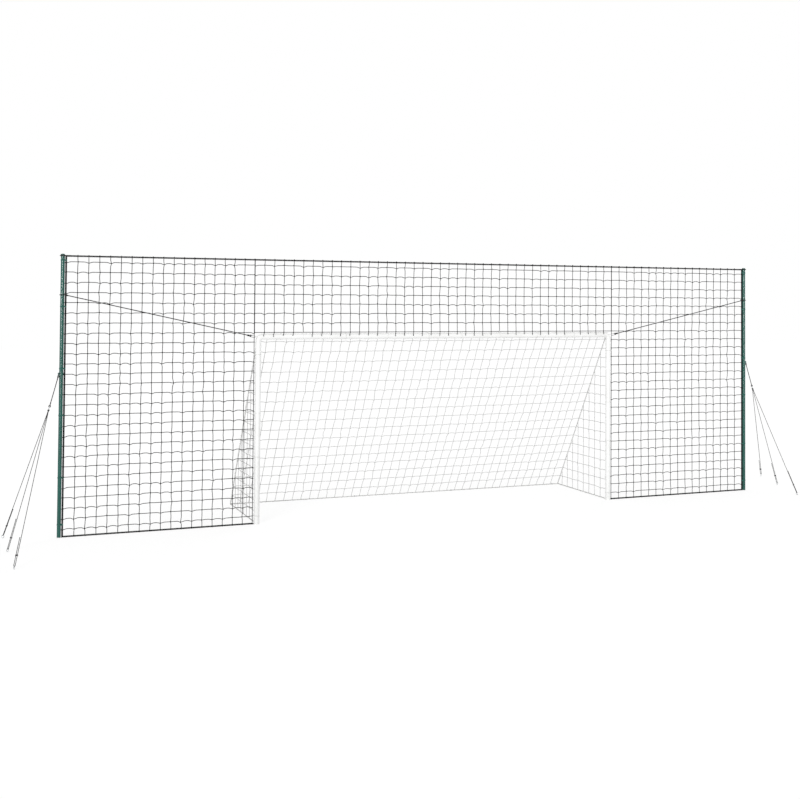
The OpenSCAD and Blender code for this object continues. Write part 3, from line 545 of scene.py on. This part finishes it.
def hangGuys(side, name):
    # Three guys with their eyes and knots, and the lead that joins them to the collar
    rig, sign = guyRig, sides[side]
    plan = guyPlan(sign)
    eyes, knots = [], []
    for k, where in enumerate(guyNames):
        guy = guyLine(plan, k)
        line = mirrored(guy["line"], sign)
        up, out = mirrored(guy["up"], sign), mirrored(guy["out"], sign)
        flat = np.cross(up, out)
        rope = makePiece(f"{side}_guy_{where}", [layRope(line, flat, rig["guyRadius"])], "cord_black",
                         "cord_black", name)
        eyes += [eyeLoop(line[0], up, mirrored(plan["fan"], sign), rig["guyEye"], rig["guyRadius"]),
                 whipping(line[0] - up * rig["whip"], up, flat, rig["whip"], rig["guyRadius"], rig["whipTwine"])]
        knots.append(stopperKnot(line[-1], [out, flat, up], rig["knot"], rig["knotCord"] * rig["guyRadius"]))
    makePiece(f"{side}_guy_eyes", eyes, "cord_black", "cord_black", name)
    makePiece(f"{side}_guy_knots", knots, "cord_black", "cord_black", name)
    # the lead, from the collar's ring to the junction ring
    top = mirrored(plan["ringLow"], sign)
    fan = mirrored(plan["fan"], sign)
    junction = mirrored(plan["junction"], sign)
    low = junction - rig["junctionRadius"] * inPlane(junction - top, fan)
    up = unit(top - low)
    bottom = low + up * eyeReach(rig["leadEye"], rig["leadRadius"], rig["junctionWire"])
    head = top - up * eyeReach(rig["leadEye"], rig["leadRadius"], rig["ringWire"])
    ringAxis = mirrored(plan["ringAxis"], sign)
    flat = unit(np.cross(up, ringAxis))
    lead = makePiece(f"{side}_lead", [layRope([head, bottom], flat, rig["leadRadius"])], "cord_black",
                     "cord_black", f"{side}_guy_lead")
    whip = rig["longWhip"]
    makePiece(f"{side}_lead_eyes", [
        eyeLoop(head, up, ringAxis, rig["leadEye"], rig["leadRadius"]),
        eyeLoop(bottom, -up, fan, rig["leadEye"], rig["leadRadius"]),
        whipping(head - up * whip, up, flat, whip, rig["leadRadius"], rig["whipTwine"]),
        whipping(bottom, up, flat, whip, rig["leadRadius"], rig["whipTwine"])],
        "cord_black", "cord_black", f"{side}_guy_lead")


for side in sides:
    hangGuys(side, f"{side}_guys")
print("guys and leads hung")

cornerRope = {
    "radius": 0.005,
    "height": 2.614856,  # where it goes round the pole
    "front": -0.016,
    "eye": 0.009,
    "hookLength": 0.036,
    "hookBend": 0.010,
    "hookWire": 0.0025,
    "stapleWire": 0.0025,
    "staple": (2.398, -0.016, 2.150),
    "netEdge": 0.005,
    "knotAfterPole": 0.022,
    "knotBeforeEye": 0.014,
    "knot": (0.016, 0.010, 0.009),
}


def loopRound(bigRadius, smallRadius, gap, count=20):
    # Line drawn tight round two circles, gap apart on X: an arc of each, and straight between
    a = math.acos((bigRadius - smallRadius) / gap)
    t = np.linspace(a, 2 * np.pi - a, count)
    s = np.linspace(-a, a, count // 2)
    big = bigRadius * np.stack([np.cos(t), np.sin(t), 0 * t], -1)
    small = [gap, 0, 0] + smallRadius * np.stack([np.cos(s), np.sin(s), 0 * s], -1)
    return np.concatenate([big, small])


def hitchRelief(lat, lon):
    return 1 + 0.12 * np.cos(3 * lon + 4 * lat)  # three ridges that wind round the hitch


def tieCornerRope(side):
    # A loop round pole and side rope, a straight line down to the hook, and an eye on the hook
    rope, sign = cornerRope, sides[side]
    start = np.array([poleSet["x"] - poleSet["radius"], rope["front"], rope["height"]])
    staple = np.array(rope["staple"])
    ahead = unit(start - staple)
    hook = staple + ahead * (rope["hookBend"] - rope["hookWire"] - rope["stapleWire"] - poleSet["seat"])
    far = hook + ahead * (rope["hookLength"] + rope["hookBend"])
    length = np.linalg.norm(start - far) - eyeReach(rope["eye"], rope["radius"], rope["hookWire"])
    line = mirrored([start, start - ahead * length], sign)
    down = unit(line[1] - line[0])
    piece = makePiece(f"{side}_corner_line", [layRope(line, yBack, rope["radius"])], "cord_black",
                      "cord_black", f"{side}_corner_rope")
    small = poleSet["edgeRope"] + poleSet["seat"]
    reach = poleSet["x"] - poleSet["wallX"] + poleSet["edgeRope"] + rope["netEdge"] + 2 * poleSet["seat"]
    turn = loopRound(poleSet["radius"] + poleSet["seat"] + rope["radius"], small + rope["radius"], reach - small)
    turn = mirrored([poleSet["x"], 0, rope["height"]], sign) + turn * [-sign, 1, 1]
    eyeMiddle = line[1] + down * rope["eye"]
    eye = circleLine(eyeMiddle, down, np.cross(yBack, down), rope["eye"])
    whip = guyRig["longWhip"]
    knots = [line[0] + down * rope["knotAfterPole"], line[1] - down * rope["knotBeforeEye"]]
    makePiece(f"{side}_corner_fastenings", [
        layRope(turn, zUp, rope["radius"], closed=True),
        layRope(eye, yBack, rope["radius"] - guyRig["spliceIn"], closed=True),
        whipping(line[1] - down * whip, down, yBack, whip, rope["radius"], guyRig["whipTwine"]),
        carryBlobs(knots, [down, np.cross(yBack, down), yBack], rope["knot"], 11, 16, hitchRelief)],
        "cord_black", "cord_black", f"{side}_corner_rope")


for side in sides:
    tieCornerRope(side)
print("corner ropes tied")

wallRopes = {"bottomInner": 2.3843, "throat": 0.055, "whip": 0.030, "whipTwine": 0.0009}


def ropeWall():
    # Top rope with an eye round each pole, side ropes down from it, and the two ropes on the ground
    r, seat, twine = poleSet["edgeRope"], poleSet["seat"], wallRopes["whipTwine"]
    loop = poleSet["radius"] + seat + r - guyRig["spliceIn"]
    height = poleSet["wallHeight"]
    end = poleSet["x"] - loop
    surfaces = [layRope([[-end, 0, height], [end, 0, height]], zUp, r)]
    for sign in sides.values():
        xOut = np.array([sign, 0.0, 0.0])
        surfaces += [
            layRope(circleLine([sign * poleSet["x"], 0, height], xOut, yBack, loop), zUp,
                    r - guyRig["spliceIn"], closed=True),
            whipping([sign * (end - wallRopes["throat"]), 0, height], xOut, zUp, wallRopes["throat"], r, twine)]
    makePiece("top_rope_laid", surfaces, "cord_black", "cord_black", "top_rope")
    for side, sign in sides.items():
        x = sign * poleSet["wallX"]
        top = height - r - seat
        makePiece(f"{side}_side_rope_laid", [layRope([[x, 0, 0.0], [x, 0, top]], yBack, r)], "cord_black",
                  "cord_black", f"{side}_side_rope")
        line = mirrored([[wallRopes["bottomInner"], 0, r], [poleSet["wallX"] - r - seat, 0, r]], sign)
        makePiece(f"{side}_bottom_rope_laid", [
            layRope(line, zUp, r),
            whipping(line[0], [sign, 0, 0], zUp, wallRopes["whip"], r, twine)], "cord_black", "cord_black",
            f"{side}_bottom_rope")


ropeWall()
print("wall ropes laid")

wallNet = {
    "twine": 0.0038,  # radius
    "edgeTwine": 0.0028,
    "top": 3.0337,
    "bottom": 0.0123,
    "barLine": 2.1985,  # the row just over the crossbar
    "rows": 27,
    "rowsOverBar": 7,
    "rowPitch": 0.1109,
    "outerX": 4.4937,
    "innerX": 2.396,
    "sideCols": 18,
    "topCols": 41,
    "edge": 0.0033,
    "billow": 0.014,
    "seed": 11,
    "gapSteps": 7,
    "knot": (0.0076, 0.0062, 0.0080),
    "rowReach": 0.38,
    "columnReach": 0.5,
    "hitchInset": 0.010,
}
goalFrame = {"crossbarHeight": 2.150, "tubeRadius": 0.034}
cutEnds = {
    "gap": 0.0004,  # off the crossbar
    "begin": 14.0,  # degrees from the top of the tube
    "stop": (66.0, 96.0),
    "steps": 9,
    "lean": 0.5,  # how far the ends sway aside as they come forward
    "tieRoom": 0.012,
}
ties = {"out": (0.22183, 0.75421, 1.28660, 1.81899), "heights": (1.94403, 1.27213, 0.76820, 0.09629)}


def knotShifts(rng, shape, drop=0.012, sway=0.003, share=0.45):
    # Some knots hang lower than their row, and each sits a little to one side
    shift = np.zeros(shape + (2,))
    shift[..., 0] = rng.normal(0, sway, shape)
    low = rng.random(shape) < share
    shift[..., 1] = np.where(low, -drop * rng.uniform(0.6, 1.2, shape), rng.normal(0, sway / 2, shape))
    return shift


def twineLines(rest, shift, reach, steps):
    # Twine from knot to knot: rest(s) + dip(s) shift_i + dip(1 - s) shift_j, and
    # dip(s) = cos^2(pi s / (2 reach)) up to reach, then 0
    s = np.arange(steps) / steps
    dip = np.where(s < reach, np.cos(np.pi * s / (2 * reach)) ** 2, 0)
    back = np.where(1 - s < reach, np.cos(np.pi * (1 - s) / (2 * reach)) ** 2, 0)
    a, b = rest[:, :-1, None], rest[:, 1:, None]
    da, db = shift[:, :-1, None], shift[:, 1:, None]
    line = a + (b - a) * s[:, None] + da * dip[:, None] + db * back[:, None]
    return np.concatenate([line.reshape(len(rest), -1, 3), (rest + shift)[:, -1:]], axis=1)


def knotRelief(lat, lon):
    return 1 + 0.16 * np.cos(2 * lon + 2 * lat) * np.sin(lat)  # two ridges that fade at the knot's ends


def wallPoint(x, z, x0, x1, z0, z1):
    # The panel bellies backwards a little, with its four edges held in the wall's plane
    belly = wallNet["billow"] * np.sin(np.pi * (x - x0) / (x1 - x0)) * np.sin(np.pi * (z - z0) / (z1 - z0))
    return np.stack([x, belly * np.ones_like(z), z], -1)


def knitWall(x0, x1, cols, rows, bottom, rng):
    # Rows and columns of twine knotted where they cross, from the top rope down to bottom
    net = wallNet
    x = np.linspace(x0, x1, cols + 1)
    low = bottom if bottom is not None else rows[-1]
    levels = np.concatenate([[net["top"]], rows, [] if bottom is None else [bottom]])
    gx, gz = np.meshgrid(x, levels, indexing="ij")
    rest = wallPoint(gx, gz, x0, x1, low, net["top"])
    shift2 = knotShifts(rng, gx.shape)
    shift2[:, 0] = 0
    shift2[[0, -1], :, 0] = 0
    shift2[:, -1] = 0
    shift = np.stack([shift2[..., 0], 0 * gx, shift2[..., 1]], -1)
    columns = twineLines(rest, shift, net["columnReach"], net["gapSteps"])
    inner = slice(1, 1 + len(rows))
    rowLines = twineLines(rest[:, inner].swapaxes(0, 1), shift[:, inner].swapaxes(0, 1), net["rowReach"],
                          net["gapSteps"])
    knots = (rest + shift)[:, inner].reshape(-1, 3)
    surfaces = [
        carryRound(columns, yBack, net["twine"]),
        carryRound(rowLines, yBack, net["twine"]),
        carryBlobs(knots, np.eye(3), net["knot"], 4, 7, knotRelief)]
    # edge cords, along the top rope and the rope on the ground
    lift = net["edgeTwine"] + poleSet["seat"]
    heights = [poleSet["wallHeight"] - poleSet["edgeRope"] - lift]
    if bottom is not None:
        heights.append(2 * poleSet["edgeRope"] + lift)
    edges = [[[x0, 0, z], [x1, 0, z]] for z in heights]
    surfaces.append(carryRound(edges, yBack, net["edgeTwine"]))
    return surfaces, rest + shift


def hitches(centres, axis, around, radius, twine):
    # Small closed turns of twine round a rope, one at each centre
    a = unit(np.cross(around, axis))
    b = np.cross(axis, a)
    t = np.linspace(0, 2 * np.pi, 10, endpoint=False)[:, None]
    ring = radius * (np.cos(t) * a + np.sin(t) * b)
    return carryRound(np.asarray(centres)[:, None] + ring[None], axis, twine, 5, closed=True)


def knitWallNets():
    # A panel beside each post and one over the crossbar, hitched to the ropes along their edges
    net, rng = wallNet, np.random.default_rng(wallNet["seed"])
    ropeTop, r = poleSet["wallHeight"], poleSet["edgeRope"]
    turn = r + net["twine"]
    rows = net["barLine"] + net["rowPitch"] * (net["rowsOverBar"] - np.arange(net["rows"]))
    for side, sign in sides.items():
        x0, x1 = sorted((sign * (net["innerX"] + net["edge"]), sign * (net["outerX"] - net["edge"])))
        surfaces, knots = knitWall(x0, x1, net["sideCols"], rows, net["bottom"], rng)
        column = knots[:, 0, 0]
        topAt = np.stack([column, 0 * column, 0 * column + ropeTop], -1)
        bottomAt = np.stack([column, 0 * column, 0 * column + r], -1)
        outer = knots[-1 if sign > 0 else 0, 1:-1, 2]
        sideAt = np.stack([0 * outer + sign * poleSet["wallX"], 0 * outer, outer], -1)
        inRange = np.abs(column) < poleSet["wallX"] - net["hitchInset"]
        surfaces += [hitches(topAt[inRange], xRight, zUp, turn, net["twine"]),
                     hitches(bottomAt[inRange], xRight, zUp, turn, net["twine"]),
                     hitches(sideAt, zUp, yBack, turn, net["twine"])]
        makePiece(f"{side}_wall_net", surfaces, "net_black", "net_black", f"{side}_net")
    edge = net["innerX"] - poleSet["seat"]
    surfaces, knots = knitWall(-edge, edge, net["topCols"], rows[:net["rowsOverBar"] + 1], None, rng)
    column = knots[1:-1, 0, 0]
    surfaces.append(hitches(np.stack([column, 0 * column, 0 * column + ropeTop], -1), xRight, zUp, turn,
                            net["twine"]))
    surfaces.append(trimmedEnds(knots[1:-1, -1, 0], rng))
    makePiece("top_wall_net", surfaces, "net_black", "net_black", "top_net")


def trimmedEnds(x, rng):
    # Cut ends of the net's columns, bent forward over the crossbar: an arc just off the tube
    net, ends = wallNet, cutEnds
    x = x[np.abs(np.abs(x)[:, None] - ties["out"]).min(1) > ends["tieRoom"]]
    bend = goalFrame["tubeRadius"] + net["twine"] + ends["gap"]
    begin = np.radians(ends["begin"])
    stop = np.radians(rng.uniform(*ends["stop"], len(x)))[:, None]
    a = begin + (stop - begin) * np.linspace(0, 1, ends["steps"])[None]
    arc = np.stack([x[:, None] - ends["lean"] * bend * np.sin(a), -bend * np.sin(a),
                    goalFrame["crossbarHeight"] + bend * np.cos(a)], -1)
    start = np.stack([x, 0 * x, 0 * x + net["barLine"]], -1)[:, None]
    return carryRound(np.concatenate([start, arc], axis=1), [1, 0, 0], net["twine"], 5)


knitWallNets()
print("wall nets knitted")

goalNet = {
    "twine": 0.0031,
    "halfWidth": 2.35,
    "front": 0.0422,
    "top": 2.150,
    "depth": 1.300,
    "groundRope": 0.004,
    "seamRope": 0.006,
    "cols": 41,
    "rows": 17.5,
    "rowLines": 17,
    "sideCols": 9,
    "edge": 0.0063,
    "clear": 0.002,  # over the ropes on the ground
    "seamGap": 0.001,
    "seamRoom": 0.020,  # no knot is nearer to the seam
    "footRoom": 0.030,
    "sag": 0.030,
    "seed": 5,
    "drop": 0.010,  # of the knots that hang low
    "rearSway": 0.005,
    "sideSway": 0.004,
    "gapSteps": 6,
    "knot": (0.0064, 0.0060, 0.0052),
}
goalSlope = np.array([0, goalNet["depth"] - goalNet["front"], goalNet["groundRope"] - goalNet["top"]])


def slopePoint(x, s):
    # Point of the sloping net at distance s down it, sagging inwards away from its edges
    net = goalNet
    length = np.linalg.norm(goalSlope)
    down = goalSlope / length
    out = np.array([0, -down[2], down[1]])
    inward = net["sag"] * np.sin(np.pi * np.clip(s / length, 0, 1))
    inward = inward * np.cos(np.pi * x / (2 * net["halfWidth"])) ** 0.5
    place = np.stack([x, net["front"] + s * down[1], net["top"] + s * down[2]], -1)
    return place - inward[..., None] * out


def knitGoalNet():
    # Rear net: knots at slopePoint(x, s) + shift, with columns down the slope and rows across it
    net, rng = goalNet, np.random.default_rng(goalNet["seed"])
    length = np.linalg.norm(goalSlope) - net["groundRope"] - poleSet["seat"] - net["clear"]
    fall = unit(goalSlope)
    out = np.array([0, -fall[2], fall[1]])
    pitch = length / net["rows"]
    s = np.concatenate([[0], (np.arange(net["rowLines"]) + 0.5) * pitch, [length]])
    edge = net["halfWidth"] - net["edge"]
    gx, gs = np.meshgrid(np.linspace(-edge, edge, net["cols"] + 1), s, indexing="ij")
    rest = slopePoint(gx, gs)
    shift2 = knotShifts(rng, gx.shape, net["drop"], net["rearSway"])
    shift2[:, [0, -1]] = 0
    shift2[[0, -1], :, 0] = 0
    shift = shift2[..., :1] * [1, 0, 0] - shift2[..., 1:] * fall
    columns = twineLines(rest, shift, wallNet["columnReach"], net["gapSteps"])
    rowLines = twineLines(rest.swapaxes(0, 1), shift.swapaxes(0, 1), wallNet["rowReach"], net["gapSteps"])
    axes = np.stack([xRight, fall, np.cross(xRight, fall)])
    knots = (rest + shift)[:, 1:-1].reshape(-1, 3)
    makePiece("goal_rear_net", [
        carryRound(columns, out, net["twine"]),
        carryRound(rowLines, out, net["twine"]),
        carryBlobs(knots, axes, net["knot"], 4, 7, knotRelief)], "net_white", "net_white", "goal_net_rear")
    for side, sign in sides.items():
        knitGoalSide(side, sign, s, pitch, fall, rng)


def knitGoalSide(side, sign, s, pitch, fall, rng):
    # Rows at the rear net's own heights, and columns that stop at the slanting seam
    net = goalNet
    x = sign * net["halfWidth"]
    z = net["top"] + s[1:-1] * fall[2]
    low = 2 * net["groundRope"] + net["clear"]
    z = z[z > low + net["footRoom"]]
    lean = -fall[1] / fall[2]
    inset = (net["seamRope"] + net["seamGap"]) / -fall[2]
    seam = net["front"] + (net["top"] - z) * lean - inset
    y = net["front"] + pitch * np.arange(net["sideCols"])
    shift2 = knotShifts(rng, (len(z), len(y)), net["drop"], net["sideSway"])
    surfaces, knots = [], []
    for k, height in enumerate(z):
        inside = y[y < seam[k] - net["seamRoom"]]
        knotsAt = np.stack([0 * inside + x, inside, 0 * inside + height], -1)
        offset = np.stack([0 * inside, shift2[k, :len(inside), 0], shift2[k, :len(inside), 1]], -1)
        offset[:1] = 0
        knots.append(knotsAt + offset)
        rest = np.concatenate([knotsAt, [[x, seam[k], height]]])
        line = twineLines(rest[None], np.concatenate([offset, [[0, 0, 0]]])[None], wallNet["rowReach"],
                          net["gapSteps"])
        surfaces.append(carryRound(line, xRight, net["twine"]))
    for j, depth in enumerate(y):
        roof = net["top"] - (depth - net["front"]) / lean - inset / lean
        held = z[z < roof - net["seamRoom"]] if j else z
        first = len(z) - len(held)
        offset = np.stack([0 * held, shift2[first:, j, 0], shift2[first:, j, 1]], -1) * (1 if j else 0)
        rest = np.stack([0 * held + x, 0 * held + depth, held], -1)
        rest = np.concatenate([[[x, depth, roof]], rest, [[x, depth, low]]])
        offset = np.concatenate([[[0, 0, 0]], offset, [[0, 0, 0]]])
        line = twineLines(rest[None], offset[None], wallNet["columnReach"], net["gapSteps"])
        surfaces.append(carryRound(line, xRight, net["twine"]))
    surfaces.append(carryBlobs(np.concatenate(knots), np.eye(3), net["knot"], 4, 7, knotRelief))
    foot = np.array([[x, net["front"], low], [x, seam[-1] + (z[-1] - low) * lean, low]])
    surfaces.append(carryRound(foot, xRight, net["twine"], 5))
    makePiece(f"goal_{side}_net", surfaces, "net_white", "net_white", f"goal_net_{side}")


knitGoalNet()
print("goal nets knitted")

goalRopes = {
    "lashPitch": 0.072,
    "lashSteps": 14,
    "seamTwine": 0.0014,
    "seamLift": 0.0006,  # how proud the lashing stands
    "footTwine": 0.0012,
    "footLift": 0.0004,
}


def lashing(start, end, flat, radius, twine):
    # Twine that spirals along a rope: a helix of the rope's radius, one turn in each pitch
    pitch = goalRopes["lashPitch"]
    length = np.linalg.norm(end - start)
    ahead = (end - start) / length
    across = unit(np.cross(flat, ahead))
    up = np.cross(ahead, across)
    s = np.linspace(0, 1, int(length / pitch * goalRopes["lashSteps"]))[:, None]
    angle = 2 * np.pi * s * length / pitch
    line = start + s * (end - start) + radius * (np.cos(angle) * across + np.sin(angle) * up)
    return carryRound(line, flat, twine, 5)


def cutLevel(rope, fall, height):
    # The last ring, and whatever is lower than height, slides along the rope to a level cut
    verts = rope["verts"]
    moved = (verts[:, 2] < height) | (np.arange(len(verts)) >= len(verts) - ropeLay["sides"])
    verts[moved] += fall * ((height - verts[moved, 2:]) / fall[2])
    return rope


def ropeGoal():
    # Lashed ropes down the two slanting seams, along the sides on the ground and along the back
    net, ropes, seat = goalNet, goalRopes, poleSet["seat"]
    fall = unit(goalSlope)
    footLash = net["groundRope"] + ropes["footLift"]
    seams, foot = [], []
    for sign in sides.values():
        x = sign * net["halfWidth"]
        top = np.array([x, net["front"], net["top"]])
        level = 2 * net["groundRope"] + seat
        low = top + fall * ((level - net["top"]) / fall[2])
        seams += [cutLevel(layRope([top, low], xRight, net["seamRope"]), fall, level),
                  lashing(top, low, xRight, net["seamRope"] + ropes["seamLift"], ropes["seamTwine"])]
        front = np.array([x, goalFrame["tubeRadius"] + seat, net["groundRope"]])
        back = np.array([x, net["depth"] - net["groundRope"] - seat, net["groundRope"]])
        foot += [layRope([front, back], zUp, net["groundRope"]),
                 lashing(front, back, zUp, footLash, ropes["footTwine"])]
    end = net["halfWidth"] + net["groundRope"]
    line = np.array([[-end, net["depth"], net["groundRope"]], [end, net["depth"], net["groundRope"]]])
    foot += [layRope(line, zUp, net["groundRope"]),
             lashing(line[0], line[1], zUp, footLash, ropes["footTwine"])]
    makePiece("goal_seam_ropes_laid", seams, "rope_white", "net_white", "goal_seam_ropes")
    makePiece("goal_ground_ropes_laid", foot, "rope_white", "net_white", "goal_ground_ropes")


ropeGoal()

tieTurns = {
    "turns": 3,
    "twine": 0.0011,
    "spacing": 2.05,  # in radii of the twine
    "gap": 0.0001,
    "steps": 26,
    "small": 0.0046,
    "reach": 0.0539,
}


def tieGoal():
    # Each tie is three turns of twine drawn round the tube and the net's edge
    size = tieTurns
    big = goalFrame["tubeRadius"] + size["twine"] + size["gap"]
    ring = loopRound(big, size["small"], size["reach"] - size["small"], size["steps"])
    surfaces = []

    def wind(centre, a, b, axis):
        for k in range(size["turns"]):
            offset = (k - (size["turns"] - 1) / 2) * size["spacing"] * size["twine"]
            line = np.asarray(centre) + ring[:, :1] * a + ring[:, 1:2] * b + offset * axis
            surfaces.append(carryRound(line, axis, size["twine"], 6, closed=True))

    for sign in sides.values():
        for out in ties["out"]:
            wind([sign * out, 0, goalFrame["crossbarHeight"]], zUp, -yBack, xRight)
        for height in ties["heights"]:
            wind([sign * goalNet["halfWidth"], 0, height], sign * xRight, yBack, zUp)
    makePiece("goal_twine_ties", surfaces, "tie_white", "net_white", "goal_ties")


tieGoal()
print("ropes and ties of the goal made")
